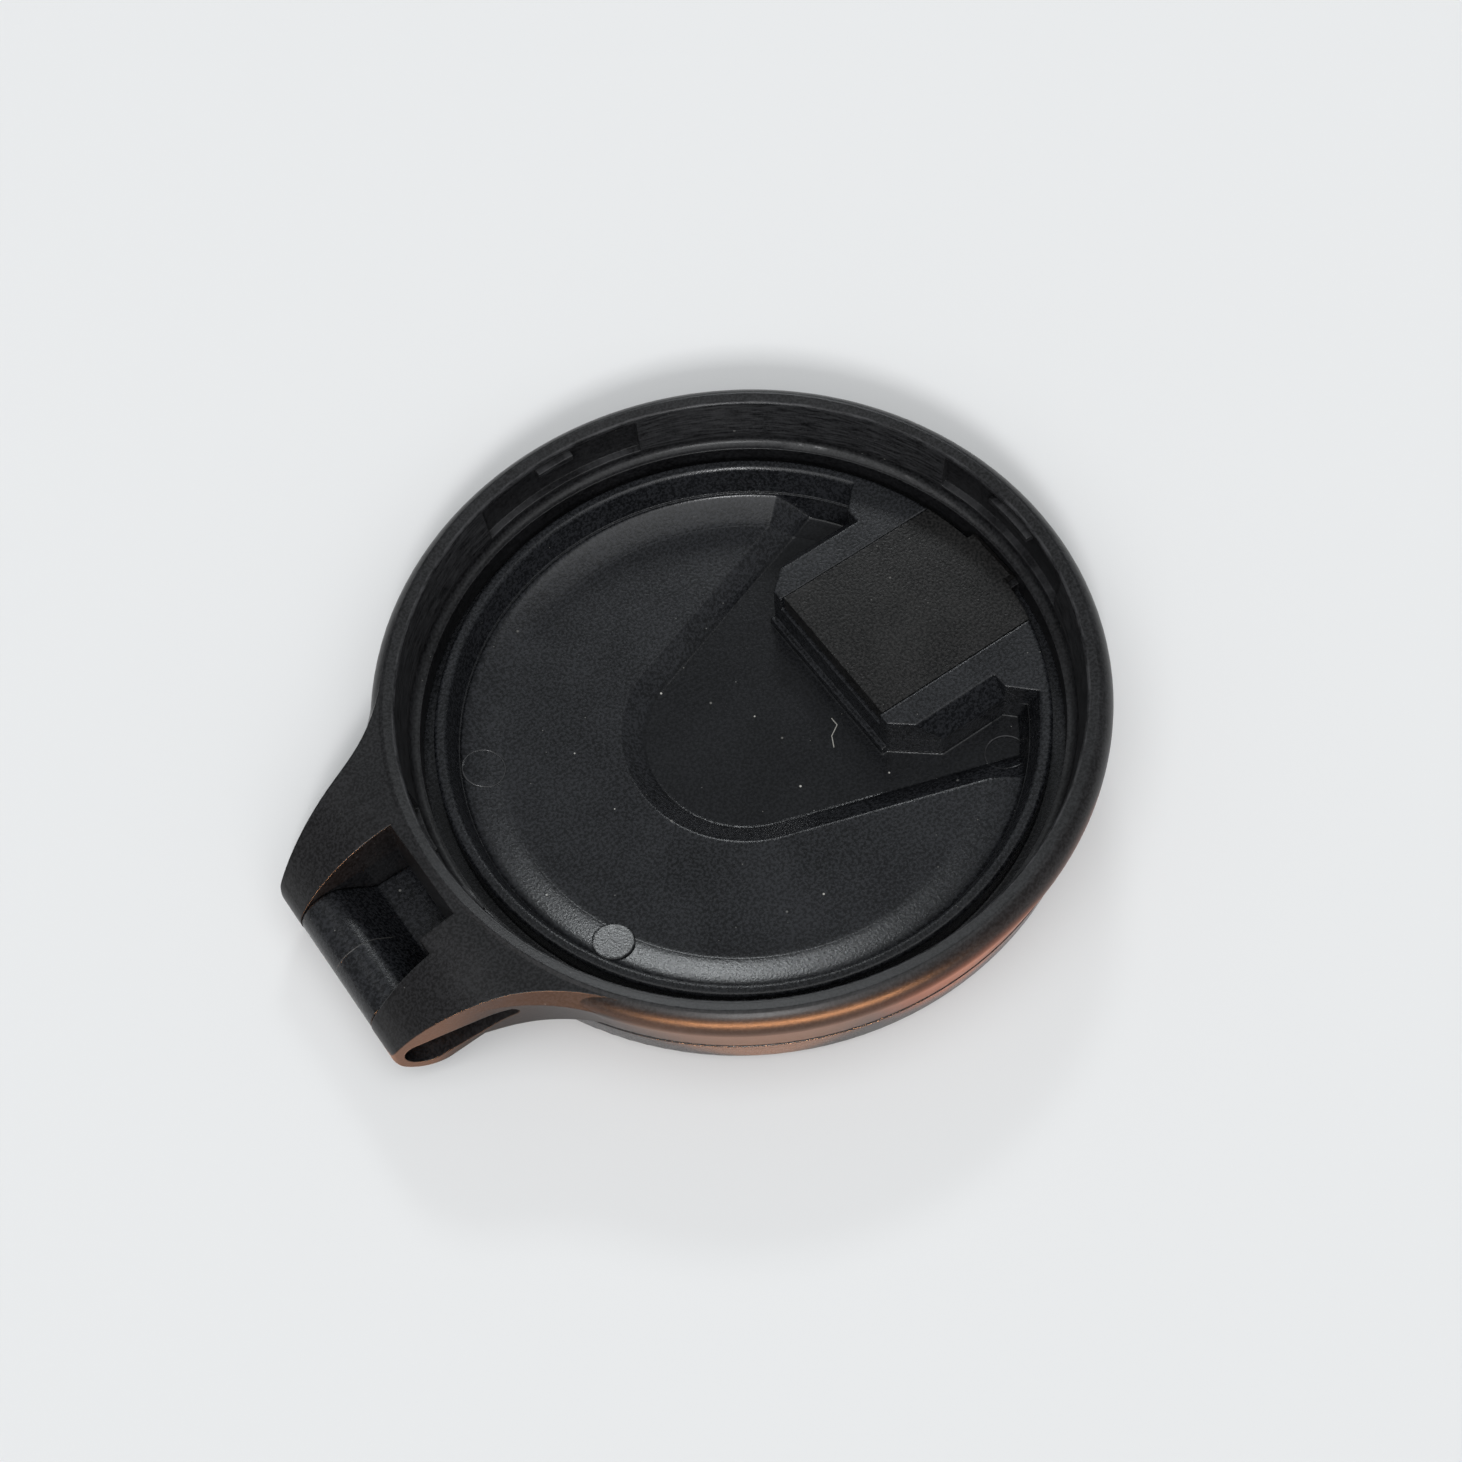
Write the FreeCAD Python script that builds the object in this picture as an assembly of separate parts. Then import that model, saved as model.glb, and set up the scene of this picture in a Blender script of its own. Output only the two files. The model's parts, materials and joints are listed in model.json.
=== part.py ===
import math
import os

import FreeCAD
import Part

# Flip-up lens cap. Millimetres, +Z is the lens side. The origin is on the ring axis, at the ledge
# that the lens barrel stops against. The hinge lies toward -X and the latch toward +X.

V = FreeCAD.Vector
os.makedirs("parts", exist_ok=True)

# lens ring
seat_radius = 28.05
rim_height = 5.1
rim_land = 1.05
rim_fall = 0.18
rim_soft = 0.12
lead_in = 0.45
lead_in_drop = 3.9
bulge = 1.17
bulge_start = 66.0
ring_taper = 14.0
ledge_width = 0.9
ledge_thick = 2.2
ledge_fillet = 0.75
rebate_height = 0.9

# snap pockets and ribs in the ring wall
pocket_angle = 32.6
pocket_depth = 0.7
pocket_foot = 0.95
pocket_head = 0.6
rib_reach = 0.0
hinge_rib_reach = -0.15
rib_height = 0.55
rib_below_rim = 1.0
side_rib_length = 3.5
latch_rib_length = 5.2
hinge_rib_length = 2.6
hinge_rib_offset = 3.3

# hinge lug
hinge_gap = 6.75
hinge_drop = 1.5
nose_radius = 2.5
lug_step = 0.1
lug_waist_run = 4.4
lug_waist_drop = 5.9
lug_wing_slope = 4.0
lug_half_width = 9.05
flank_angle = 20.0
flank_blend = 17.0
nose_corner = 0.7
lug_skin = 0.85
tunnel_floor = 7.2
tunnel_tip = 0.6
tunnel_tip_gap = -0.1
side_wall = 1.0

# hinge knuckle, pin and spring
knuckle_half = 5.5
knuckle_inset = 0.05
arm_near = 3.95
arm_thick = 1.55
arm_gap = 0.1
side_gap = 0.15
slot_wall = 1.7
window_back = 4.0
pin_radius = 0.8
pin_press = 0.01
pin_running = 0.06
spring_pocket_radius = 1.95
spring_pocket_depth = 4.6
spring_mean_radius = 1.4
spring_wire = 0.4
spring_turns = 6

# door
seam_gap = 0.15
edge_step = 0.05
door_taper = 10.5
skirt_height = 0.6
ridge_gap = 1.15
ridge_width = 1.05
ridge_chamfer = 0.2
lip_draft = 0.8
dish_depth = 2.65
dish_fall = 0.75
dish_band = 2.95
door_wall = 2.2
door_round = 1.0

# teardrop well in the door
well_radius = 10.8
well_centre = 0.45
well_angle = 18.7
well_depth = 1.3
well_slope = 2.0
well_wall = 1.4
well_skin = 0.75
boss_inset = 2.6

# latch pad
pad_run = 16.9
pad_nose_half = 8.2
pad_corner = 3.6
pad_half = 11.2
pad_length = 10.1
pad_top_half = 9.7
pad_chamfer_drop = 2.0
pad_flare = 2.0
pad_toe = 0.5
pad_toe_height = 0.8

# latch slider
plate_setback = 0.3
plate_half = 7.1
plate_thick = 1.6
slide_gap = 0.05
edge_gap = 0.08
plate_end_gap = 0.1
rail_width = 1.7
tongue_half = 2.6
tongue_reach = 1.0
tongue_thick = 1.05
tongue_chamfer = 0.5
latch_travel = 1.5
catch_bite = 0.6
catch_gap = 0.1
catch_side = 0.6
stem_start = 7.9
stem_length = 3.0
stem_half = 2.0
stem_gap = 0.3
pad_floor = 1.1
coil_steps = 14
coil_wire = 0.3
coil_outer = 0.8
coil_turns = 7
coil_wall = 1.9

# thumb button
button_length = 10.0
button_half = 4.9
button_gap = 0.25
button_plate = 0.75
button_lead = 4.4
grip_ribs = 4
grip_rib_width = 0.9
grip_rib_height = 0.4
front_margin = 0.1

rim_inner = seat_radius + lead_in
rim_radius = rim_inner + rim_land
ring_radius = rim_radius + bulge
ring_low = -(ledge_thick - rebate_height)
rebate_radius = seat_radius + ledge_width / 2
ledge_radius = seat_radius - ledge_width
hinge_x = -(ring_radius + hinge_gap)
hinge_z = -hinge_drop
ridge_outer = ledge_radius - ridge_gap
ridge_inner = ridge_outer - ridge_width
dish_radius = ridge_inner - lip_draft
dish_floor = -(dish_depth + dish_fall)
front_z = dish_floor - door_wall
well_floor = dish_floor - well_depth
boss_z = well_floor - well_wall
door_top = -(ledge_thick + seam_gap)
skirt_top = door_top + skirt_height
pad_start = ridge_outer - pad_run


def vec(x, y, z=0.0):
    return V(x, y, z)


def face(points):
    return Part.Face(Part.makePolygon(points + [points[0]]))


def box(x0, x1, y0, y1, z0, z1):
    return Part.makeBox(x1 - x0, y1 - y0, z1 - z0, vec(x0, y0, z0))


def tube(outer, inner, z0, z1):
    body = Part.makeCylinder(outer, z1 - z0, vec(0, 0, z0))
    return body.cut(Part.makeCylinder(inner, z1 - z0, vec(0, 0, z0)))


def frustum(r0, z0, r1, z1):
    return Part.makeCone(r0, r1, z1 - z0, vec(0, 0, z0))


def turned(edges, angle=360.0):
    return Part.Face(Part.Wire(edges)).revolve(vec(0, 0, 0), vec(0, 0, 1), angle)


def profile(points):
    # joins points in the XZ plane with lines; a point given as a pair (mid, end) is reached by an arc
    edges = []
    last = points[0]
    for item in points[1:] + [points[0]]:
        if isinstance(item, tuple):
            edges.append(Part.Arc(last, item[0], item[1]).toShape())
            last = item[1]
        else:
            edges.append(Part.LineSegment(last, item).toShape())
            last = item
    return edges


def sector(r0, r1, z0, z1, middle, angle):
    block = Part.makeCylinder(r1, z1 - z0, vec(0, 0, z0), vec(0, 0, 1), angle)
    block = block.cut(Part.makeCylinder(r0, z1 - z0, vec(0, 0, z0)))
    block.rotate(vec(0, 0, 0), vec(0, 0, 1), middle - angle / 2)
    return block


def tangent_point(point, centre, radius, side):
    # where the line from the point touches the circle, in the XZ plane
    dx = point.x - centre.x
    dz = point.z - centre.z
    turn = math.atan2(dz, dx) + side * math.acos(radius / math.hypot(dx, dz))
    return vec(centre.x + radius * math.cos(turn), 0, centre.z + radius * math.sin(turn))


def rounded(before, corner, after, radius):
    # start, middle and end of the arc that rounds one corner
    a = (before - corner).normalize()
    b = (after - corner).normalize()
    half = a.getAngle(b) / 2
    along = radius / math.tan(half)
    centre = corner + (a + b).normalize() * (radius / math.sin(half))
    middle = centre - (a + b).normalize() * radius
    return corner + a * along, middle, corner + b * along


def coil(turns, height, mean_radius, wire):
    # a spring wound up +Z from the origin, of six-sided wire bent in short steps
    spine = []
    for k in range(turns * coil_steps + 1):
        turn = 2 * math.pi * k / coil_steps
        rise = height * k / (turns * coil_steps)
        spine.append(vec(mean_radius * math.cos(turn), mean_radius * math.sin(turn), rise))
    wire_edge = []
    for k in range(7):
        turn = math.pi * k / 3
        wire_edge.append(vec(mean_radius + wire / 2 * math.cos(turn), 0, wire / 2 * math.sin(turn)))
    return Part.makePolygon(spine).makePipeShell([Part.makePolygon(wire_edge)], True, False, 1)


# mount_ring: turned ring, its outer wall bulging under the rim and tapering toward the door
fillet_lean = ledge_fillet * (1 - math.sqrt(0.5))
bulge_lean = math.radians(bulge_start)
taper_lean = math.radians(ring_taper)
bulge_radius = bulge / (1 - math.cos(bulge_lean))
bulge_r = ring_radius - bulge_radius
bulge_z = rim_height - bulge_radius * math.sin(bulge_lean)


def on_bulge(lean):
    return vec(bulge_r + bulge_radius * math.cos(lean), 0, bulge_z + bulge_radius * math.sin(lean))


bulge_end = on_bulge(-taper_lean)
ring_low_radius = bulge_end.x - (bulge_end.z - ring_low) * math.tan(taper_lean)
door_radius = ring_low_radius - edge_step
ring = turned(profile([
    vec(ledge_radius, 0, 0),
    vec(seat_radius - ledge_fillet, 0, 0),
    (vec(seat_radius - fillet_lean, 0, fillet_lean), vec(seat_radius, 0, ledge_fillet)),
    vec(seat_radius, 0, rim_height - lead_in_drop),
    vec(rim_inner, 0, rim_height - rim_fall - rim_soft),
    vec(rim_inner + rim_soft, 0, rim_height - rim_fall),
    vec(rim_radius - rim_soft, 0, rim_height),
    on_bulge(bulge_lean - rim_soft / bulge_radius),
    (on_bulge((bulge_lean - taper_lean) / 2), bulge_end),
    vec(ring_low_radius, 0, ring_low),
    vec(rebate_radius, 0, ring_low),
    vec(rebate_radius, 0, -ledge_thick),
    vec(ledge_radius, 0, -ledge_thick),
]))

# mount_ring: lug section across the hinge, extruded along the pin
nose = vec(hinge_x, 0, hinge_z)
top_root = vec(-rim_radius, 0, rim_height - lug_step)
low_root = vec(-(rim_inner + lug_waist_run), 0, rim_height - lug_waist_drop)
crown_rise = top_root.z - hinge_z
crown_reach = top_root.x - hinge_x
crown_radius = (crown_reach**2 + crown_rise**2 - nose_radius**2) / (2 * (crown_rise - nose_radius))
crown_centre = vec(top_root.x, 0, top_root.z - crown_radius)
top_touch = nose + (nose - crown_centre).normalize() * nose_radius
crown = crown_centre + (top_touch + top_root - crown_centre * 2).normalize() * crown_radius
low_touch = tangent_point(low_root, nose, nose_radius, -1)
nose_tip = vec(hinge_x - nose_radius, 0, hinge_z)
wing_run = (top_root.z - low_root.z) / math.tan(math.radians(lug_wing_slope))
wing_end = vec(low_root.x + wing_run, 0, top_root.z)
section = Part.Face(Part.Wire([
    Part.LineSegment(wing_end, top_root).toShape(),
    Part.Arc(top_root, crown, top_touch).toShape(),
    Part.Arc(top_touch, nose_tip, low_touch).toShape(),
    Part.LineSegment(low_touch, low_root).toShape(),
    Part.LineSegment(low_root, wing_end).toShape(),
]))
lug_span = 2 * ring_radius
section.translate(vec(0, -lug_span / 2, 0))
lug = section.extrude(vec(0, lug_span, 0))


def mirrored(point):
    return vec(point.x, -point.y, point.z)


def lug_plan(radius, z):
    # outline of the lug seen from above, its flanks blended into a ring of this radius
    lean = math.radians(flank_angle)
    flank_run = vec(math.cos(lean), math.sin(lean))
    flank_out = vec(-math.sin(lean), math.cos(lean))
    tip = vec(hinge_x - nose_radius, lug_half_width)
    blend_base = tip + flank_out * flank_blend
    along = blend_base.dot(flank_run)
    reach = math.sqrt(along**2 - blend_base.dot(blend_base) + (radius + flank_blend)**2)
    blend_centre = blend_base - flank_run * (along + reach)
    flank_end = tip - flank_run * (along + reach)
    touch = blend_centre * (radius / (radius + flank_blend))
    toward = ((flank_end + touch) * 0.5 - blend_centre).normalize()
    middle = blend_centre + toward * flank_blend
    corner = rounded(vec(tip.x, 0), tip, flank_end, nose_corner)
    outline = Part.Wire([
        Part.LineSegment(mirrored(corner[0]), corner[0]).toShape(),
        Part.Arc(corner[0], corner[1], corner[2]).toShape(),
        Part.LineSegment(corner[2], flank_end).toShape(),
        Part.Arc(flank_end, middle, touch).toShape(),
        Part.LineSegment(touch, mirrored(touch)).toShape(),
        Part.Arc(mirrored(touch), mirrored(middle), mirrored(flank_end)).toShape(),
        Part.LineSegment(mirrored(flank_end), mirrored(corner[2])).toShape(),
        Part.Arc(mirrored(corner[2]), mirrored(corner[1]), mirrored(corner[0])).toShape(),
    ])
    outline.translate(vec(0, 0, z))
    return outline


# mount_ring: lug trimmed to its outline, which leans with the ring wall
lug = lug.common(Part.makeLoft([
    lug_plan(ring_low_radius, hinge_z - 2 * nose_radius),
    lug_plan(ring_low_radius, ring_low),
    lug_plan(ring_radius, bulge_z),
    lug_plan(bulge_r + math.sqrt(bulge_radius**2 - (top_root.z - bulge_z)**2), rim_height),
], True, True))
lug = lug.cut(Part.makeCylinder(rim_inner + rim_land / 2, 2 * ring_radius, vec(0, 0, -ring_radius)))
ring = ring.fuse(lug)

# mount_ring: hinge window with its side walls, arm slot, pin hole and the cored tunnel in each ear
deep = ring_radius
window_half = knuckle_half + side_gap
arm_top = door_top - arm_gap
for side in (1, -1):
    near_y, far_y = sorted((side * window_half, side * (window_half + side_wall)))
    wall_end = -(ring_low_radius + 2 * seam_gap)
    ring = ring.fuse(box(hinge_x, wall_end, near_y, far_y, arm_top - arm_thick, low_root.z + lug_skin))
ring = ring.cut(box(hinge_x - 2 * nose_radius, hinge_x + window_back, -window_half, window_half, -deep, deep))
ring = ring.cut(box(hinge_x, -(rim_inner + slot_wall), -(arm_near + side_gap), window_half, -deep, deep))
pin_base = vec(hinge_x, -tunnel_floor, hinge_z)
ring = ring.cut(Part.makeCylinder(pin_radius + pin_press, 2 * tunnel_floor, pin_base, vec(0, 1, 0)))
far_x = -(ring_radius + tunnel_tip_gap)
far_top = crown_centre.z + math.sqrt(crown_radius**2 - (far_x - crown_centre.x)**2)
far_end = vec(far_x, 0, (far_top + low_root.z) / 2)
far_radius = tunnel_tip
near_radius = nose_radius - lug_skin
mid_run = (far_end - nose).normalize()
across = vec(-mid_run.z, 0, mid_run.x)
far_high = far_end + across * far_radius
far_low = far_end - across * far_radius
near_high = nose + across * near_radius
near_low = nose - across * near_radius
tunnel = Part.Face(Part.Wire([
    Part.LineSegment(near_high, far_high).toShape(),
    Part.Arc(far_high, far_end + mid_run * far_radius, far_low).toShape(),
    Part.LineSegment(far_low, near_low).toShape(),
    Part.Arc(near_low, nose - mid_run * near_radius, near_high).toShape(),
]))
for side in (1, -1):
    cut_from = tunnel.copy()
    cut_from.translate(vec(0, side * tunnel_floor, 0))
    ring = ring.cut(cut_from.extrude(vec(0, side * ring_radius, 0)))

# mount_ring: pockets at the latch, the hinge and one side, each with its snap ribs
for quarter in (0, 90, 180):
    ring = ring.cut(sector(seat_radius - pocket_depth, seat_radius + pocket_depth, pocket_foot,
                           rim_height - pocket_head, quarter, pocket_angle))


def rib(middle, length, reach):
    top = rim_height - rib_below_rim
    angle = math.degrees(length / seat_radius)
    return sector(seat_radius - reach, seat_radius + 1.5 * pocket_depth, top - rib_height, top, middle, angle)


hinge_rib_turn = math.degrees(hinge_rib_offset / seat_radius)
ring = ring.fuse([
    rib(0, latch_rib_length, rib_reach),
    rib(90, side_rib_length, rib_reach),
    rib(180 - hinge_rib_turn, hinge_rib_length, hinge_rib_reach),
    rib(180 + hinge_rib_turn, hinge_rib_length, hinge_rib_reach),
])

# mount_ring: catch under the latch tongue
tongue_tip = ridge_outer - plate_end_gap + tongue_reach
catch_top = -(tongue_thick + catch_gap)
catch_half = tongue_half + catch_side
catch = tube(ledge_radius + ledge_width / 2, tongue_tip - catch_bite, -ledge_thick, catch_top)
ring = ring.fuse(catch.common(box(0, ring_radius, -catch_half, catch_half, -deep, deep))).removeSplitter()

# flip_door: turned cover
round_z = front_z + door_round
low_radius = door_radius - (skirt_top - round_z) * math.tan(math.radians(door_taper))
front_radius = low_radius - door_round
skirt_inner = rebate_radius + seam_gap
round_mid = vec(front_radius + door_round * math.sqrt(0.5), 0, round_z - door_round * math.sqrt(0.5))
door = turned(profile([
    vec(0, 0, front_z),
    vec(front_radius, 0, front_z),
    (round_mid, vec(low_radius, 0, round_z)),
    vec(door_radius, 0, skirt_top),
    vec(skirt_inner, 0, skirt_top),
    vec(skirt_inner, 0, door_top),
    vec(ridge_outer, 0, door_top),
    vec(ridge_outer, 0, -ridge_chamfer),
    vec(ridge_outer - ridge_chamfer, 0, 0),
    vec(ridge_inner + ridge_chamfer, 0, 0),
    vec(ridge_inner, 0, -ridge_chamfer),
    vec(dish_radius, 0, -dish_depth),
    vec(dish_radius - dish_band, 0, dish_floor),
    vec(0, 0, dish_floor),
]))


def teardrop(offset, z):
    # outline of the well, rounded toward the hinge and opening toward the latch
    radius = well_radius + offset
    lean = math.radians(well_angle)
    touch = vec(well_centre - radius * math.sin(lean), radius * math.cos(lean), z)
    far = ring_radius
    end = vec(far, touch.y + (far - touch.x) * math.tan(lean), z)
    tip = vec(well_centre - radius, 0, z)
    return Part.Wire([
        Part.Arc(mirrored(touch), tip, touch).toShape(),
        Part.LineSegment(touch, end).toShape(),
        Part.LineSegment(end, mirrored(end)).toShape(),
        Part.LineSegment(mirrored(end), mirrored(touch)).toShape(),
    ])


# flip_door: the well inside and the matching boss on the front
slope = well_slope / well_depth
well_head = dish_floor + dish_fall + ridge_chamfer
lip_lean = lip_draft / (dish_depth - ridge_chamfer)
well_top = teardrop(slope * (well_head - dish_floor), well_head)
well = Part.makeLoft([well_top, teardrop(-well_slope, well_floor)], True, True)
well = well.common(frustum(dish_radius - lip_lean * (-dish_depth - well_floor), well_floor,
                           dish_radius - lip_lean * (-dish_depth - well_head), well_head))
boss_head = front_z + well_wall / 2
boss_slope = slope * (boss_head - boss_z)
boss = Part.makeLoft([teardrop(well_skin - well_slope + boss_slope, boss_head),
                      teardrop(well_skin - well_slope, boss_z)], True, True)
boss_radius = front_radius - boss_inset
boss = boss.common(frustum(boss_radius, boss_z, boss_radius + boss_slope, boss_head))
door = door.fuse(boss).cut(well)

# flip_door: latch pad, standing in the well and running into the lip
pad_far = pad_start + pad_length
pad_points = [
    vec(pad_start, -pad_nose_half, well_floor - well_wall / 2),
    vec(pad_start + pad_corner, -pad_half, well_floor - well_wall / 2),
    vec(pad_far, -pad_half, well_floor - well_wall / 2),
    vec(pad_far + pad_flare, -(pad_half + pad_flare), well_floor - well_wall / 2),
    vec(ring_radius, -(pad_half + pad_flare), well_floor - well_wall / 2),
]
pad_points = pad_points + [mirrored(p) for p in reversed(pad_points)]
pad_height = -well_floor + well_wall / 2
pad = face(pad_points).extrude(vec(0, 0, pad_height))
pad = pad.common(Part.makeCylinder(ridge_outer - ridge_chamfer, pad_height, vec(0, 0, -pad_height)))
toe = face(pad_points).extrude(vec(0, 0, well_wall / 2 + pad_toe_height))
toe.translate(vec(-pad_toe, 0, 0))
toe = toe.common(Part.makeCylinder(dish_radius, pad_height, vec(0, 0, -pad_height)))
for side in (1, -1):
    wedge = face([
        vec(0, side * pad_top_half, 0),
        vec(0, side * pad_half, -pad_chamfer_drop),
        vec(0, side * ring_radius, -pad_chamfer_drop),
        vec(0, side * ring_radius, rim_height),
        vec(0, side * pad_top_half, rim_height),
    ]).extrude(vec(pad_far, 0, 0))
    pad = pad.cut(wedge)
door = door.fuse([pad, toe.common(box(0, pad_start + pad_corner, -pad_nose_half, pad_nose_half, -deep, 0))])

# flip_door: plate channel, spring chamber, stem slot and button recess
plate_x = pad_start + plate_setback
channel_floor = -(plate_thick + slide_gap)
chamber_half = plate_half - rail_width
recess_roof = boss_z + button_plate + grip_rib_height + front_margin + slide_gap
chamber_floor = recess_roof + pad_floor
stem_x = plate_x + stem_start
chamber_x = pad_start + coil_wall
chamber_end = stem_x + stem_length + stem_gap
button_x = stem_x - button_lead
channel_half = plate_half + edge_gap
slot_half = stem_half + stem_gap
slot_x = stem_x - latch_travel - stem_gap
recess_half = button_half + button_gap
recess_x = button_x - latch_travel - button_gap
recess_end = button_x + button_length + button_gap
below = boss_z - door_wall
door = door.cut([
    box(pad_start - latch_travel, ridge_outer, -channel_half, channel_half, channel_floor, rim_height),
    box(chamber_x, chamber_end, -chamber_half, chamber_half, chamber_floor, channel_floor + slide_gap),
    box(slot_x, chamber_end, -slot_half, slot_half, below, chamber_floor + slide_gap),
    box(recess_x, recess_end, -recess_half, recess_half, below, recess_roof),
])

# flip_door: knuckle and arm
knuckle_radius = nose_radius - knuckle_inset
knuckle_base = vec(hinge_x, -knuckle_half, hinge_z)
knuckle = Part.makeCylinder(knuckle_radius, 2 * knuckle_half, knuckle_base, vec(0, 1, 0))
half_turn = math.sqrt(0.5) * knuckle_radius
arm_leave = vec(hinge_x + half_turn, 0, hinge_z + half_turn)
arm_root = -(ridge_outer + ridge_gap / 2)
arm = face([
    nose,
    arm_leave,
    vec(arm_leave.x + arm_leave.z - arm_top, 0, arm_top),
    vec(arm_root, 0, arm_top),
    vec(arm_root, 0, arm_top - arm_thick),
    vec(hinge_x, 0, hinge_z - knuckle_radius),
])
arm.translate(vec(0, -arm_near, 0))
arm = arm.extrude(vec(0, arm_near + knuckle_half, 0))
door = door.fuse([knuckle, arm])
door = door.cut(Part.makeCylinder(pin_radius + pin_running, 2 * tunnel_floor, pin_base, vec(0, 1, 0)))
spring_start = knuckle_half - spring_pocket_depth
door = door.cut(Part.makeCylinder(spring_pocket_radius, spring_pocket_depth + side_gap,
                                  vec(hinge_x, spring_start, hinge_z), vec(0, 1, 0)))
door = door.removeSplitter()

# latch_slider: plate, tongue and stem
plate = box(plate_x, ring_radius, -plate_half, plate_half, -plate_thick, 0)
plate = plate.common(Part.makeCylinder(ridge_outer - plate_end_gap, plate_thick, vec(0, 0, -plate_thick)))
tongue = face([
    vec(stem_x, -tongue_half, 0),
    vec(tongue_tip - tongue_chamfer, -tongue_half, 0),
    vec(tongue_tip, -tongue_half, -tongue_chamfer),
    vec(tongue_tip, -tongue_half, -tongue_thick),
    vec(stem_x, -tongue_half, -tongue_thick),
]).extrude(vec(0, 2 * tongue_half, 0))
stem_foot = boss_z + front_margin + grip_rib_height + button_plate / 2
stem = box(stem_x, stem_x + stem_length, -stem_half, stem_half, stem_foot, -plate_thick / 2)
slider = plate.fuse([tongue, stem]).removeSplitter()

# latch_button: thumb piece with grip ribs and a socket for the stem
button_z = boss_z + front_margin + grip_rib_height
button = box(button_x, button_x + button_length, -button_half, button_half, button_z, button_z + button_plate)
rib_pitch = (button_length - grip_rib_width) / (grip_ribs - 1)
for k in range(grip_ribs):
    start = button_x + k * rib_pitch
    end = start + grip_rib_width
    button = button.fuse(box(start, end, -button_half, button_half, button_z - grip_rib_height, button_z))
button = button.cut(box(stem_x - edge_gap, stem_x + stem_length + edge_gap, -(stem_half + edge_gap),
                        stem_half + edge_gap, stem_foot, button_z + button_plate))
button = button.removeSplitter()

# latch_spring: compression coil from the chamber wall to the stem
coil_run = stem_x - chamber_x - coil_wire
latch_spring = coil(coil_turns, coil_run, coil_outer - coil_wire / 2, coil_wire)
latch_spring.rotate(vec(0, 0, 0), vec(0, 1, 0), 90)
latch_spring.translate(vec(chamber_x + coil_wire / 2, 0, (chamber_floor + channel_floor) / 2))

# hinge_pin and hinge_spring
pin = Part.makeCylinder(pin_radius, 2 * tunnel_floor, pin_base, vec(0, 1, 0))
coil_height = spring_pocket_depth - spring_wire - 2 * side_gap
hinge_spring = coil(spring_turns, coil_height, spring_mean_radius, spring_wire)
hinge_spring.rotate(vec(0, 0, 0), vec(1, 0, 0), -90)
hinge_spring.translate(vec(hinge_x, spring_start + side_gap + spring_wire / 2, hinge_z))

for name, shape in (
    ("mount_ring", ring),
    ("flip_door", door),
    ("latch_slider", slider),
    ("latch_button", button),
    ("latch_spring", latch_spring),
    ("hinge_pin", pin),
    ("hinge_spring", hinge_spring),
):
    print(name, shape.isValid(), len(shape.Solids), round(shape.Volume, 2))
    shape.exportStep("parts/" + name + ".step")
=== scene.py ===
import json
import math

import bmesh
import bpy
import numpy as np
from mathutils import Matrix, Vector

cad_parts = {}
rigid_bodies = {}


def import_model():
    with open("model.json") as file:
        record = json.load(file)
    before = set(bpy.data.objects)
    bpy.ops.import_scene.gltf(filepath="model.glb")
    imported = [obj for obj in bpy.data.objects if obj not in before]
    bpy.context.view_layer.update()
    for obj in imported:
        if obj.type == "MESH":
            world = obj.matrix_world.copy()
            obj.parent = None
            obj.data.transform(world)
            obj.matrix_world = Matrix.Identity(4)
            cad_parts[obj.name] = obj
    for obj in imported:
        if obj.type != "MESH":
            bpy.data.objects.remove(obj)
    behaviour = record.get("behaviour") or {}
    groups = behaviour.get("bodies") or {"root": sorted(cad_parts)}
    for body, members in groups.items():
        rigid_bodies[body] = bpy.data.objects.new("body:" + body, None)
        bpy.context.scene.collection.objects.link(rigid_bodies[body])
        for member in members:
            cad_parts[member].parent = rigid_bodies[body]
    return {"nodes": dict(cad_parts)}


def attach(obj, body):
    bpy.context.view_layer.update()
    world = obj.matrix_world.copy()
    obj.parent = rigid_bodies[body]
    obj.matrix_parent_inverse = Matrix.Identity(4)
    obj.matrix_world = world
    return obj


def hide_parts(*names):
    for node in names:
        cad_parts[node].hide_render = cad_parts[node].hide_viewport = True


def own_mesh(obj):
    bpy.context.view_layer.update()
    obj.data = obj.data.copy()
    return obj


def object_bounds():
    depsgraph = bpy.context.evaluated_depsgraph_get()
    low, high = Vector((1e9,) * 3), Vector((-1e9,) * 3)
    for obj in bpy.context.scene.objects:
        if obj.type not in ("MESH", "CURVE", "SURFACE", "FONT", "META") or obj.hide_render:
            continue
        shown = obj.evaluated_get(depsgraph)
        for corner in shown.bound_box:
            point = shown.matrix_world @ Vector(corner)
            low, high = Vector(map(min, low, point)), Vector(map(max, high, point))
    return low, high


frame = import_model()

for stray in [o for o in bpy.data.objects if o.name in ("Cube", "Light", "Camera")]:
    bpy.data.objects.remove(stray)
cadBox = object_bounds()
print("frame loaded:", ", ".join(sorted(frame["nodes"])))

mm = 0.001


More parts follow.
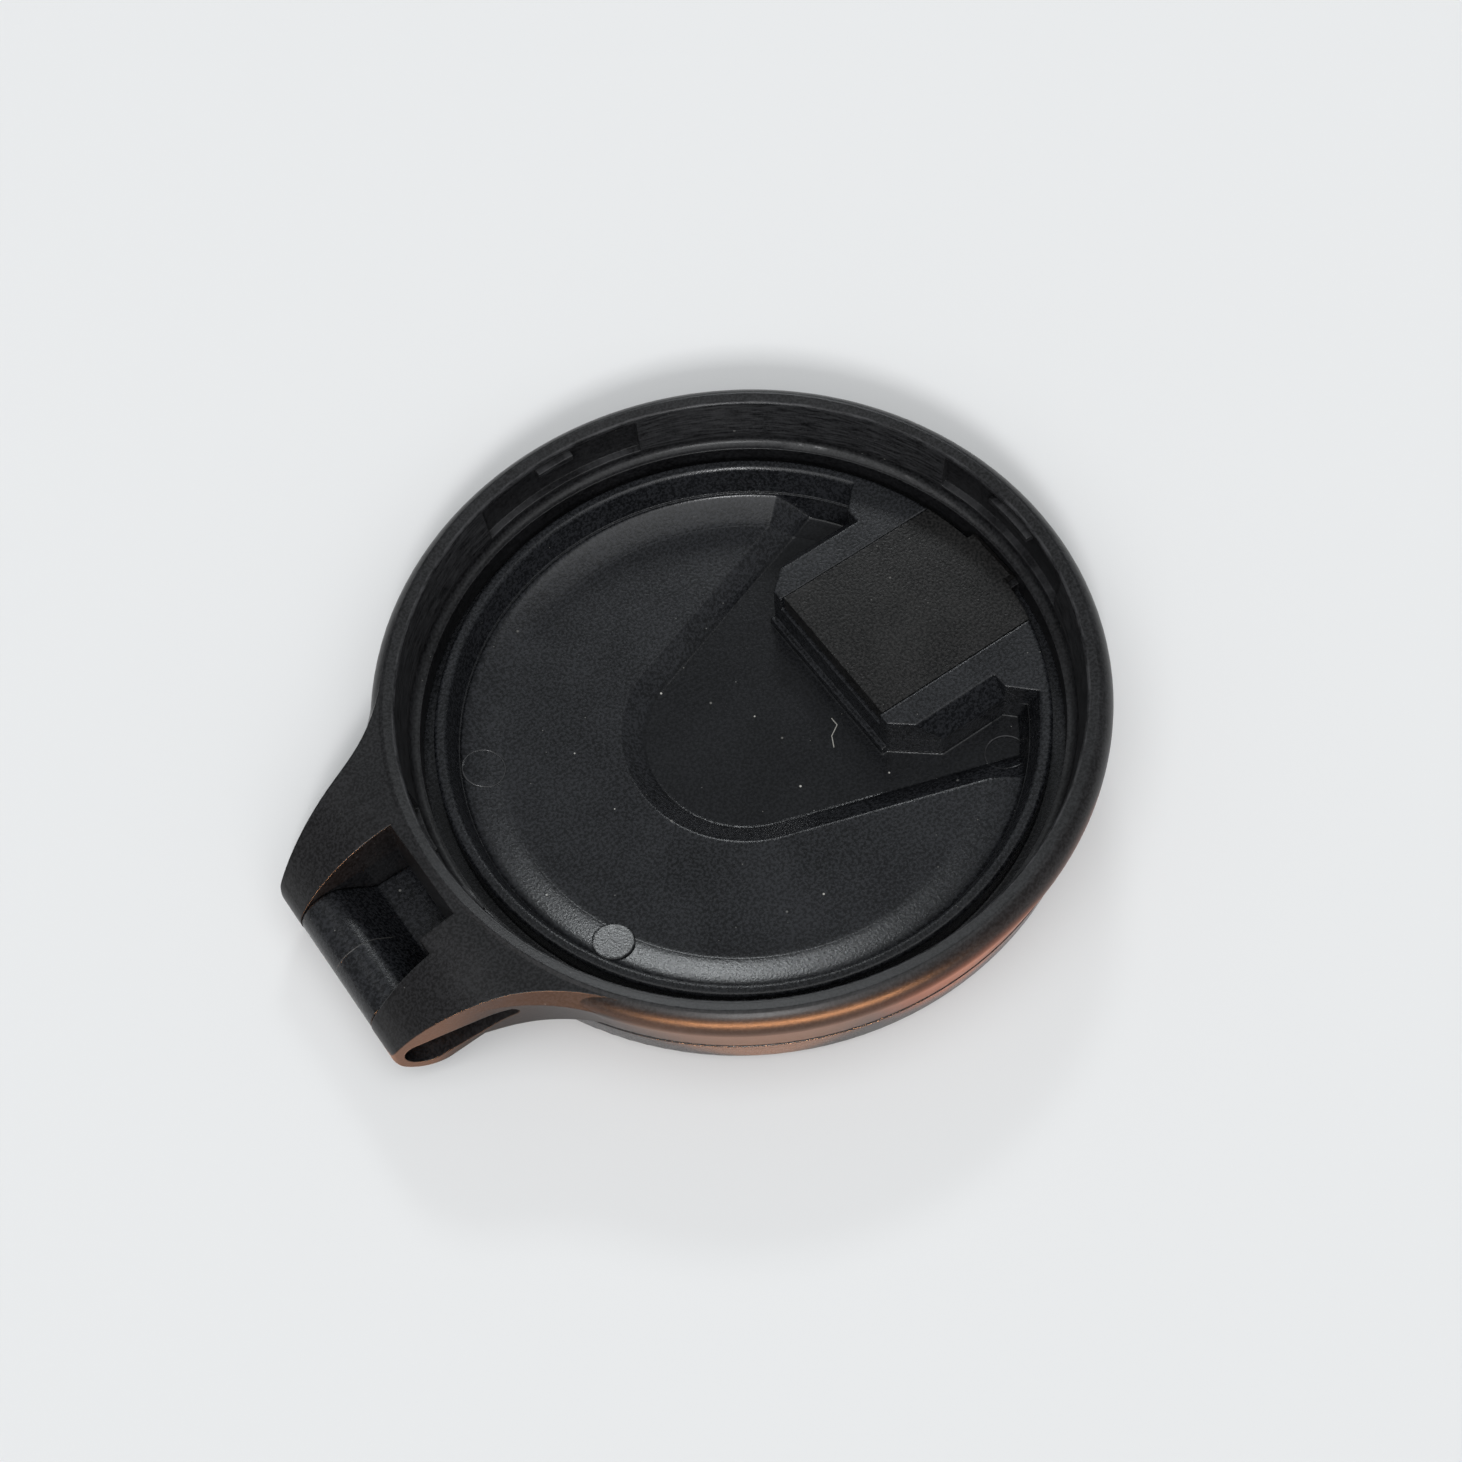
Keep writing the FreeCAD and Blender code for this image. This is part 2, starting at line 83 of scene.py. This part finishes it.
class Wire:  # one output socket of a node tree; sums written on it add Math nodes
    def __init__(self, tree, socket=None):
        self.tree = tree
        self.socket = socket

    def node(self, kind, settings=None, inputs=None, out=0):  # any node: type, settings, then sockets
        made = self.tree.nodes.new(kind)
        for key, value in (settings or {}).items():
            setattr(made, key, value)
        for key, value in (inputs or {}).items():
            if isinstance(value, Wire):
                self.tree.links.new(value.socket, made.inputs[key])
            else:
                made.inputs[key].default_value = value
        return Wire(self.tree, made.outputs[out] if len(made.outputs) else None)

    def also(self, name):  # another output of the same node
        return Wire(self.tree, self.socket.node.outputs[name])

    def sum(self, operation, first, second=0.0):
        return self.node("ShaderNodeMath", {"operation": operation}, {0: first, 1: second})

    def __add__(self, other):
        return self.sum("ADD", self, other)

    def __radd__(self, other):
        return self.sum("ADD", other, self)

    def __sub__(self, other):
        return self.sum("SUBTRACT", self, other)

    def __rsub__(self, other):
        return self.sum("SUBTRACT", other, self)

    def __mul__(self, other):
        return self.sum("MULTIPLY", self, other)

    def __rmul__(self, other):
        return self.sum("MULTIPLY", other, self)

    def __abs__(self):
        return self.sum("ABSOLUTE", self)

    def root(self):
        return self.sum("SQRT", self)

    def most(self, other):  # the greater of the two
        return self.sum("MAXIMUM", self, other)

    def held(self):  # kept between 0 and 1
        return self.sum("MINIMUM", self.most(0.0), 1.0)

    def over(self, low, high):  # 0 below low, 1 above high, eased between
        return self.node("ShaderNodeMapRange", {"interpolation_type": "SMOOTHSTEP"},
                         {"Value": self, "From Min": low, "From Max": high})

    def under(self, low, high):  # 1 below low, 0 above high
        return 1 - self.over(low, high)

    def tint(self, share, colour):  # mixes this colour toward another
        return self.node("ShaderNodeMix", {"data_type": "RGBA"}, {0: share, 6: self, 7: colour}, 2)


def blankFinish(name):  # a material with no nodes, and a wire to start from
    material = bpy.data.materials.new(name)
    material.use_nodes = True
    tree = material.node_tree
    tree.nodes.clear()
    return material, Wire(tree)


def millimetres(wire):  # object coordinates times 1000
    place = wire.node("ShaderNodeTexCoord", out=3)
    return wire.node("ShaderNodeVectorMath", {"operation": "SCALE"}, {0: place, "Scale": 1000.0})


def noise(wire, place, scale, detail=2.0, roughness=0.5):  # cloudy value about 0.5
    return wire.node("ShaderNodeTexNoise", None,
                     {"Vector": place, "Scale": scale, "Detail": detail, "Roughness": roughness})


def axes(wire, place):  # x, y and z of a place
    x = wire.node("ShaderNodeSeparateXYZ", None, {0: place})
    return x, x.also("Y"), x.also("Z")


def distanceTo(wire, place, spot):  # straight distance from a place to a fixed spot
    return wire.node("ShaderNodeVectorMath", {"operation": "DISTANCE"}, {0: place, 1: spot}, 1)


def fromAxis(x, y):  # distance from the ring's axis
    return (x * x + y * y).root()


# dust in specks of two sizes; size is a share of a cell
dust = dict(colour=(0.42, 0.41, 0.38, 1), fine=dict(scale=1.1, size=0.075, chance=0.80),
            coarse=dict(scale=0.32, size=0.05, chance=0.72), core=0.4, chanceFade=0.02, roughness=0.3)


def dustSpecks(wire, place):
    # a round speck in the middle of each cell, kept where the cell's random value is high
    total = None
    for plan in (dust["fine"], dust["coarse"]):
        near = wire.node("ShaderNodeTexVoronoi", {"feature": "F1"}, {"Vector": place, "Scale": plan["scale"]})
        chance = wire.node("ShaderNodeSeparateColor", None, {0: near.also("Color")})
        kept = chance.over(plan["chance"], plan["chance"] + dust["chanceFade"])
        speck = near.under(plan["size"] * dust["core"], plan["size"]) * kept
        total = speck if total is None else total.most(speck)
    return total


# moulded surface: where the noises turn from dark to light, and how the two are shared
moulding = dict(cloud=(0.3, 0.7), cloudShare=0.25, grain=(0.38, 0.62), grainShare=0.75, scuff=(0.60, 0.78),
                pebbleSmooth=0.6, edgeSamples=8)


def mouldedPlastic(name, look, extras=None):
    # black plastic: colour and bump follow one fine grain, gloss follows slow clouds, edges are softened
    material, wire = blankFinish(name)
    place = millimetres(wire)
    cloud = noise(wire, place, look["cloudScale"], 3.0)
    grain = noise(wire, place, look["grainScale"], 2.0, 0.6)
    pebble = wire.node("ShaderNodeTexVoronoi", {"feature": "SMOOTH_F1"},
                       {"Vector": place, "Scale": look["pebbleScale"], "Smoothness": moulding["pebbleSmooth"]})
    streak = noise(wire, place, look["scuffScale"], 5.0, 0.7)
    speck = dustSpecks(wire, place) * look["dustAmount"]
    scuff = streak.over(*moulding["scuff"]) * look["scuffAmount"]
    pale = cloud.over(*moulding["cloud"]) * moulding["cloudShare"]
    pale = pale + grain.over(*moulding["grain"]) * moulding["grainShare"]
    colour = wire.node("ShaderNodeMix", {"data_type": "RGBA"}, {0: pale, 6: look["dark"], 7: look["light"]}, 2)
    colour = colour.tint(scuff, look["scuffColour"])
    roughness = look["roughness"] + (cloud - 0.5) * look["roughnessCloud"]
    roughness = roughness + (grain - 0.5) * look["roughnessGrain"]
    height = grain * look["grainHeight"] + pebble * look["pebbleHeight"]
    if extras:
        colour, roughness, height = extras(wire, place, colour, roughness, height)
    colour = colour.tint(speck, dust["colour"])
    roughness = roughness + speck * dust["roughness"]
    edge = wire.node("ShaderNodeBevel", {"samples": moulding["edgeSamples"]}, {"Radius": look["edgeRound"] * mm})
    bump = wire.node("ShaderNodeBump", None,
                     {"Strength": 1.0, "Distance": mm, "Height": height, "Normal": edge})
    shader = wire.node("ShaderNodeBsdfPrincipled", None,
                       {"Base Color": colour, "Roughness": roughness, "Normal": bump, "IOR": look["ior"]})
    wire.node("ShaderNodeOutputMaterial", None, {"Surface": shader})
    return material


# the dish, in millimetres: its two creases, rounded in the bump, and its well, glossier and darkened with painted
# shade
dishForm = dict(top=-2.6, topFade=0.2, bottom=-5.2, bottomFade=0.2,
                bandInner=21.2, bandSlope=0.254, bandSoft=0.6, lipFoot=24.15, lipSlope=2.4, lipSoft=0.32,
                wellFloor=-4.65, wellFade=0.3, wellShadeShare=0.6, wellShadeColour=(0.004, 0.0043, 0.005, 1), wellGloss=0.07)
# door: fine grained black
doorLook = dict(dark=(0.0020, 0.0023, 0.0030, 1), light=(0.0200, 0.0210, 0.0240, 1), roughness=0.27,
                roughnessCloud=0.05, roughnessGrain=0.10, cloudScale=0.16, grainScale=3.8, grainHeight=0.017,
                pebbleScale=6.0, pebbleHeight=0.003, scuffScale=0.5, scuffAmount=0.05,
                scuffColour=(0.06, 0.06, 0.06, 1), dustAmount=0.35, edgeRound=0.28, ior=1.46)
# marks on the door: two ejector pins (x, y, depth), a lint fibre, specks (x, y, size), the knuckle's parting
# line, raised in the bump and lightened as a painted highlight
doorMarks = dict(pins=((-19.9, 10.0, 1.2), (17.0, -14.5, 0.5)), pinRadius=1.8, pinLine=(0.02, 0.10),
                 pinDepth=0.05, pinTint=0.6, pinColour=(0.05, 0.05, 0.052, 1),
                 fibre=((5.7, -5.2), (6.2, -4.2), (7.2, -3.6), (7.2, -2.8)), fibreWidth=0.035,
                 fibreColour=(0.34, 0.33, 0.30, 1), fibreRoughness=0.3,
                 specks=((-3.2, 8.0, 0.12), (2.0, 1.3, 0.10), (-12.8, 6.8, 0.09), (-13.0, 0.3, 0.08),
                         (1.2, -6.6, 0.13), (-3.5, -16.5, 0.12), (8.0, -10.0, 0.10), (-22.0, -3.2, 0.10)),
                 knuckleFrom=(-40.0, -39.9), knuckleTo=(-34.6, -34.3), partingWidth=(0.02, 0.07),
                 partingRise=0.03, partingHighlightTint=0.5, partingHighlightColour=(0.09, 0.088, 0.085, 1))


def softCrease(distance, width):  # what a rounded crease gains over a sharp one, for a slope of 1
    return ((distance * distance + width * width).root() - abs(distance)) * 0.5


def nearSegment(x, y, start, end):  # distance in plan from a point to a straight stretch
    run = (end[0] - start[0], end[1] - start[1])
    perLength = 1 / (run[0] ** 2 + run[1] ** 2)
    dx = x - start[0]
    dy = y - start[1]
    share = ((dx * run[0] + dy * run[1]) * perLength).held()
    return fromAxis(dx - share * run[0], dy - share * run[1])


def doorExtras(wire, place, colour, roughness, height):
    # adds to the door's finish, inside the dish: creases, the well's gloss and painted shade, pin rings, fibre,
    # specks; and the parting line, raised, with a painted highlight
    x, y, z = axes(wire, place)
    plan = wire.node("ShaderNodeCombineXYZ", None, {"X": x, "Y": y, "Z": 0.0})
    dish = z.under(dishForm["top"], dishForm["top"] + dishForm["topFade"])
    dish = dish * z.over(dishForm["bottom"], dishForm["bottom"] + dishForm["bottomFade"])
    radius = fromAxis(x, y)
    band = softCrease(radius - dishForm["bandInner"], dishForm["bandSoft"]) * dishForm["bandSlope"]
    foot = softCrease(radius - dishForm["lipFoot"], dishForm["lipSoft"]) * dishForm["lipSlope"]
    height = height + band * dish + foot * dish
    well = z.under(dishForm["wellFloor"], dishForm["wellFloor"] + dishForm["wellFade"])
    # painted shade: the well's colour is darkened because it lies low in the dish
    colour = colour.tint(well * dishForm["wellShadeShare"], dishForm["wellShadeColour"])
    roughness = roughness - well * dishForm["wellGloss"]
    for px, py, depth in doorMarks["pins"]:  # shallow witness ring left by an ejector pin
        away = distanceTo(wire, plan, (px, py, 0.0))
        ring = abs(away - doorMarks["pinRadius"]).under(*doorMarks["pinLine"]) * dish
        height = height - ring * (doorMarks["pinDepth"] * depth)
        colour = colour.tint(ring * (doorMarks["pinTint"] * depth), doorMarks["pinColour"])
    fibre = None
    route = doorMarks["fibre"]
    width = doorMarks["fibreWidth"]
    for start, end in zip(route[:-1], route[1:]):
        part = nearSegment(x, y, start, end).under(width * 0.5, width * 1.5)
        fibre = part if fibre is None else fibre.most(part)
    fibre = fibre * dish
    colour = colour.tint(fibre, doorMarks["fibreColour"])
    roughness = roughness + fibre * doorMarks["fibreRoughness"]
    for px, py, size in doorMarks["specks"]:
        speck = distanceTo(wire, plan, (px, py, 0.0)).under(size * 0.5, size) * dish
        colour = colour.tint(speck, dust["colour"])
    knuckle = x.over(*doorMarks["knuckleFrom"]) * x.under(*doorMarks["knuckleTo"])
    parting = abs(y).under(*doorMarks["partingWidth"]) * knuckle
    height = height + parting * doorMarks["partingRise"]
    # painted highlight: the parting ridge is tinted lighter where it catches the light
    colour = colour.tint(parting * doorMarks["partingHighlightTint"], doorMarks["partingHighlightColour"])
    return colour, roughness, height


# ring: satin black
ringLook = dict(dark=(0.0020, 0.0020, 0.0023, 1), light=(0.0170, 0.0170, 0.0185, 1), roughness=0.36,
                roughnessCloud=0.08, roughnessGrain=0.12, cloudScale=0.2, grainScale=4.2, grainHeight=0.008,
                pebbleScale=6.5, pebbleHeight=0.002, scuffScale=0.6, scuffAmount=0.10,
                scuffColour=(0.07, 0.069, 0.066, 1), dustAmount=0.25, edgeRound=0.16, ior=1.40)
# streaks round its inner wall, and lighter streaks above the ledge, a painted sheen
ringMarks = dict(seat=28.05, wallEdge=(28.65, 28.8), streakAround=0.5, streakUp=5.0, streakHeight=0.012,
                 streakRoughness=0.25, sheenShare=0.55, sheenStreak=(0.34, 0.66), sheenHeight=(0.6, 1.0),
                 sheenColour=(0.062, 0.062, 0.065, 1))


def ringExtras(wire, place, colour, roughness, height):
    # a noise drawn out along the arc, on the inner wall only, moves the bump, the painted sheen and the gloss
    x, y, z = axes(wire, place)
    arc = wire.sum("ARCTAN2", y, x) * ringMarks["seat"]
    wall = fromAxis(x, y).under(*ringMarks["wallEdge"])
    lined = wire.node("ShaderNodeCombineXYZ", None,
                      {"X": arc * ringMarks["streakAround"], "Y": z * ringMarks["streakUp"], "Z": 0.0})
    streak = noise(wire, lined, 1.0, 3.0, 0.6)
    height = height + streak * wall * ringMarks["streakHeight"]
    # painted sheen: lighter streaks on the inner wall above the ledge stand in for its streaky highlight
    sheened = streak.over(*ringMarks["sheenStreak"]) * wall * z.over(*ringMarks["sheenHeight"])
    colour = colour.tint(sheened * ringMarks["sheenShare"], ringMarks["sheenColour"])
    roughness = roughness + (streak - 0.5) * wall * ringMarks["streakRoughness"]
    return colour, roughness, height


# latch plate and button: same grain, a little warmer and flatter
latchLook = dict(dark=(0.0010, 0.0010, 0.0010, 1), light=(0.0190, 0.0182, 0.0178, 1), roughness=0.30,
                 roughnessCloud=0.05, roughnessGrain=0.10, cloudScale=0.2, grainScale=4.0, grainHeight=0.022,
                 pebbleScale=6.0, pebbleHeight=0.004, scuffScale=0.7, scuffAmount=0.05,
                 scuffColour=(0.06, 0.058, 0.055, 1), dustAmount=0.3, edgeRound=0.10, ior=1.36)

# drawn steel wire and pin
steelLook = dict(dark=(0.42, 0.42, 0.43, 1), light=(0.60, 0.60, 0.61, 1), line=(0.3, 0.7), drawn=(6.0, 0.6, 6.0),
                 roughness=0.30, lineRoughness=0.2, lineHeight=0.01, bump=0.4)


def drawnSteel(name, look):
    # bright metal: a noise drawn out along the pin moves colour, gloss and bump
    material, wire = blankFinish(name)
    along = wire.node("ShaderNodeMapping", None, {"Vector": millimetres(wire), "Scale": look["drawn"]})
    line = noise(wire, along, 1.0, 3.0, 0.6)
    colour = wire.node("ShaderNodeMix", {"data_type": "RGBA"},
                       {0: line.over(*look["line"]), 6: look["dark"], 7: look["light"]}, 2)
    roughness = look["roughness"] + (line - 0.5) * look["lineRoughness"]
    bump = wire.node("ShaderNodeBump", None,
                     {"Strength": look["bump"], "Distance": mm, "Height": line * look["lineHeight"]})
    shader = wire.node("ShaderNodeBsdfPrincipled", None,
                       {"Base Color": colour, "Metallic": 1.0, "Roughness": roughness, "Normal": bump})
    wire.node("ShaderNodeOutputMaterial", None, {"Surface": shader})
    return material


ringPlastic = mouldedPlastic("ringSatinBlack", ringLook, ringExtras)
doorPlastic = mouldedPlastic("doorGrainBlack", doorLook, doorExtras)
latchPlastic = mouldedPlastic("latchGrainBlack", latchLook)
springSteel = drawnSteel("drawnSpringSteel", steelLook)
finishes = dict(mount_ring=ringPlastic, flip_door=doorPlastic, latch_slider=latchPlastic,
                latch_button=latchPlastic, latch_spring=springSteel, hinge_pin=springSteel,
                hinge_spring=springSteel)
for nodeName, material in finishes.items():
    for slot in frame["nodes"][nodeName].material_slots:
        slot.material = material
print("finishes on", len(finishes), "nodes")


def surface(name, points, faces, material, body):  # a mesh from points and faces, normals outward
    mesh = bpy.data.meshes.new(name)
    mesh.from_pydata(points.tolist(), [], faces)
    outward = bmesh.new()
    outward.from_mesh(mesh)
    bmesh.ops.recalc_face_normals(outward, faces=outward.faces)
    outward.to_mesh(mesh)
    outward.free()
    piece = bpy.data.objects.new(name, mesh)
    bpy.context.scene.collection.objects.link(piece)
    mesh.materials.append(material)
    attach(piece, body)
    return piece


def gridFaces(rows, columns):  # quads of a grid whose last column joins the first
    r = np.arange(rows - 1)[:, None] * columns
    c = np.arange(columns)[None, :]
    n = (c + 1) % columns
    return np.stack([r + c, r + n, r + columns + n, r + columns + c], -1).reshape(-1, 4).tolist()


# the flat ejector pad that catches the light, a low disc on the sloping band of the dish; millimetres
# share: how far its top leans from the band's own slope to the direction in toward
pinPad = dict(centre=(-19.9, -10.0), radius=1.8, rise=0.09, foot=0.4, edge=0.08, dishRadius=24.15, band=2.95,
              bandTop=-2.65, floor=-3.4, slope=0.254, toward=(0.494, 0.870), share=0.3, columns=72)
# paler than the door: a painted sheen standing in for the bright reflection off the pad's flat top
padSheenLook = dict(doorLook, dark=(0.006, 0.0065, 0.0075, 1), light=(0.026, 0.027, 0.029, 1))
padSheenPlastic = mouldedPlastic("ejectorPadPaintedSheen", padSheenLook)


def bandHeight(x, y):  # the dish floor: level inside, rising in a straight slope over the outer band
    inner = pinPad["dishRadius"] - pinPad["band"]
    share = np.clip((np.hypot(x, y) - inner) / pinPad["band"], 0, 1)
    return pinPad["floor"] + share * (pinPad["bandTop"] - pinPad["floor"])


def buildPinPad():
    # rings of a disc out from its middle: three on one plane, a chamfered edge, a foot sunk in the floor
    radius = pinPad["radius"]
    radii = radius * np.array([0.0, 0.5, 1.0, 1.0, 1.0])
    radii[2] -= pinPad["edge"]
    turn = np.linspace(0, 2 * np.pi, pinPad["columns"], endpoint=False)
    r, t = np.meshgrid(radii, turn, indexing="ij")
    x = pinPad["centre"][0] + r * np.cos(t)
    y = pinPad["centre"][1] + r * np.sin(t)
    plane = np.stack([np.cos(turn), np.sin(turn), np.ones_like(turn)], 1)
    fit = np.linalg.lstsq(plane, bandHeight(x[-1], y[-1]), rcond=None)[0]
    lean = -pinPad["slope"] * radius * np.array(pinPad["toward"])
    fit[:2] += pinPad["share"] * (lean - fit[:2])
    z = (fit[0] * np.cos(t) + fit[1] * np.sin(t)) * r / radius + fit[2] + pinPad["rise"]
    z[3] -= pinPad["edge"] / 2
    z[4] -= pinPad["foot"]
    points = np.stack([x, y, z], -1).reshape(-1, 3) * mm
    faces = gridFaces(len(radii), pinPad["columns"])
    surface("ejector_pad", points, faces, padSheenPlastic, "door")


buildPinPad()
print("ejector pad set")

# the latch's return spring, built at one length (the real one shortens as the latch slides in); millimetres, shut
# is a share of its length
latchCoil = dict(start=11.17, end=17.12, centre=-2.676, radius=0.65, wire=0.15, turns=7, stepsPerTurn=24,
                 sides=10, shut=0.75)


def buildLatchCoil():
    # a helix along X, with a ring of points square to its run at each step; the ends are closed flat
    share = np.linspace(0, 1, latchCoil["turns"] * latchCoil["stepsPerTurn"] + 1)
    turn = 2 * np.pi * latchCoil["turns"] * share
    length = latchCoil["end"] - latchCoil["start"]
    outward = np.stack([np.zeros_like(turn), np.sin(turn), np.cos(turn)], 1)
    middle = outward * latchCoil["radius"] + np.array([latchCoil["start"], 0, latchCoil["centre"]])
    middle[:, 0] += length * share
    run = np.stack([np.full_like(turn, length / (2 * np.pi * latchCoil["turns"])),
                    latchCoil["radius"] * np.cos(turn), -latchCoil["radius"] * np.sin(turn)], 1)
    run /= np.linalg.norm(run, axis=1)[:, None]
    across = np.cross(run, outward)
    columns = latchCoil["sides"]
    side = np.linspace(0, 2 * np.pi, columns, endpoint=False)[None, :, None]
    ring = np.cos(side) * outward[:, None] + np.sin(side) * across[:, None]
    points = (middle[:, None] + latchCoil["wire"] * ring).reshape(-1, 3) * mm
    last = (len(share) - 1) * columns
    faces = gridFaces(len(share), columns) + [list(range(columns)), list(range(last, last + columns))]
    coil = surface("latch_coil", points, faces, springSteel, "door")
    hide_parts("latch_spring")
    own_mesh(coil)


buildLatchCoil()
print("latch coil set")

# camera as the photograph was taken; millimetres and degrees about the middle of the ring's rim, clip in metres
shot = dict(lens=62.0, sensor=36.0, height=60.08, turn=29.6, roll=6.0, aside=1.057, above=4.094, away=207.01,
            rim=5.1, clip=(0.01, 20))


def photoCamera():
    # looks down at the rim by its height angle, set off aside and above, rolled, then turned about the axis
    lift = math.radians(shot["height"])
    roll = math.radians(shot["roll"])
    right = Vector((1, 0, 0))
    up = Vector((0, math.sin(lift), math.cos(lift)))
    ahead = Vector((0, math.cos(lift), -math.sin(lift)))
    eye = -shot["aside"] * right - shot["above"] * up - shot["away"] * ahead
    imageRight = math.cos(roll) * right - math.sin(roll) * up
    imageUp = math.sin(roll) * right + math.cos(roll) * up
    basis = Matrix((imageRight, imageUp, -ahead)).transposed().to_4x4()
    turned = Matrix.Rotation(math.radians(-shot["turn"]), 4, "Z")
    rim = Matrix.Translation((0, 0, shot["rim"] * mm))
    data = bpy.data.cameras.new("photoCamera")
    data.lens = shot["lens"]
    data.sensor_width = shot["sensor"]
    data.sensor_fit = "HORIZONTAL"
    data.clip_start, data.clip_end = shot["clip"]
    camera = bpy.data.objects.new("photoCamera", data)
    camera.matrix_world = rim @ turned @ Matrix.Translation(eye * mm) @ basis
    bpy.context.scene.collection.objects.link(camera)
    bpy.context.scene.camera = camera


photoCamera()

# plain pale floor; half its width in metres
floorPlan = dict(half=3.0, colour=(0.80, 0.80, 0.80, 1), roughness=0.9)


def paleFloor():  # one square under the lowest point of the CAD box
    half = floorPlan["half"]
    z = cadBox[0][2]
    corners = [[-half, -half, z], [half, -half, z], [half, half, z], [-half, half, z]]
    mesh = bpy.data.meshes.new("paleFloor")
    mesh.from_pydata(corners, [], [[0, 1, 2, 3]])
    floor = bpy.data.objects.new("paleFloor", mesh)
    bpy.context.scene.collection.objects.link(floor)
    material, wire = blankFinish("paleFloor")
    matt = wire.node("ShaderNodeBsdfDiffuse", None,
                     {"Color": floorPlan["colour"], "Roughness": floorPlan["roughness"]})
    wire.node("ShaderNodeOutputMaterial", None, {"Surface": matt})
    mesh.materials.append(material)


paleFloor()

# lamps: azimuth is taken round the photograph's own view, 0 behind the object and 180 toward the camera
lamps = dict(
    backWindow=dict(azimuth=6, height=37, away=0.80, size=(0.16, 0.10), power=1.25, colour=(0.94, 0.98, 1.0)),
    frontSoft=dict(azimuth=180, height=68, away=1.0, size=(1.3, 1.3), power=7.4, colour=(0.98, 0.99, 1.0)),
    frontSmall=dict(azimuth=184, height=43, away=0.8, size=(0.10, 0.10), power=2.2, colour=(0.98, 0.99, 1.0)),
    warmLow=dict(azimuth=178, height=0.6, away=0.25, size=(0.26, 0.007), power=1.9, colour=(1.0, 0.45, 0.20),
                 glossOnly=True),
)
# warm cards lying just over the floor before the object, face up, which its near wall mirrors
# around: degrees from the camera's side toward the right; away: from the ring's axis, in millimetres
cards = dict(
    flankCard=dict(around=-34, away=45, size=(26, 14), strength=1.4, colour=(1.0, 0.40, 0.17)),
    nearCard=dict(around=-2, away=38, size=(28, 18), strength=0.8, colour=(1.0, 0.38, 0.13)),
    rightCard=dict(around=31, away=38, size=(24, 17), strength=1.3, colour=(1.0, 0.20, 0.0)),
    edgeCard=dict(around=57, away=38, size=(20, 15), strength=0.3, colour=(1.0, 0.20, 0.0)),
)
cardLift = 0.2  # millimetres


def areaLight(name, size, power, colour, placed):  # a rectangle of light at the given matrix
    data = bpy.data.lights.new(name, "AREA")
    data.shape = "RECTANGLE"
    data.size, data.size_y = size
    data.energy = power
    data.color = colour
    lamp = bpy.data.objects.new(name, data)
    lamp.matrix_world = placed
    bpy.context.scene.collection.objects.link(lamp)
    return lamp


def glossOnly(lamp):  # seen in the plastic's sheen alone, so that the floor stays plain
    lamp.visible_camera = False
    lamp.visible_diffuse = False


def studioLamp(name, plan):  # on a sphere about the origin, facing it
    around = math.radians(90 - plan["azimuth"] - shot["turn"])
    lift = math.radians(plan["height"])
    toward = Vector((math.cos(lift) * math.cos(around), math.cos(lift) * math.sin(around), math.sin(lift)))
    facing = toward.to_track_quat("Z", "Y").to_matrix().to_4x4()
    placed = Matrix.Translation(toward * plan["away"]) @ facing
    lamp = areaLight(name, plan["size"], plan["power"], plan["colour"], placed)
    if plan.get("glossOnly"):
        glossOnly(lamp)


def floorCard(name, plan):  # power is strength times pi times the card's area
    width, depth = plan["size"][0] * mm, plan["size"][1] * mm
    turned = Matrix.Rotation(math.radians(plan["around"] - shot["turn"]), 4, "Z")
    place = Vector((0, -plan["away"] * mm, cadBox[0][2] + cardLift * mm))
    placed = turned @ Matrix.Translation(place) @ Matrix.Rotation(math.pi, 4, "X")
    power = plan["strength"] * math.pi * width * depth
    glossOnly(areaLight(name, (width, depth), power, plan["colour"], placed))


for lampName, lampPlan in lamps.items():
    studioLamp(lampName, lampPlan)
for cardName, cardPlan in cards.items():
    floorCard(cardName, cardPlan)

# world: even soft grey
sky = dict(colour=(0.94, 0.98, 1.0, 1), strength=0.24)


def softWorld():  # one colour from all sides
    world = bpy.data.worlds.new("softStudio")
    bpy.context.scene.world = world
    world.use_nodes = True
    world.node_tree.nodes.clear()
    wire = Wire(world.node_tree)
    light = wire.node("ShaderNodeBackground", None, {"Color": sky["colour"], "Strength": sky["strength"]})
    wire.node("ShaderNodeOutputWorld", None, {"Surface": light})


softWorld()
bpy.context.scene.view_settings.view_transform = "Standard"
print("camera, lamps and floor set")
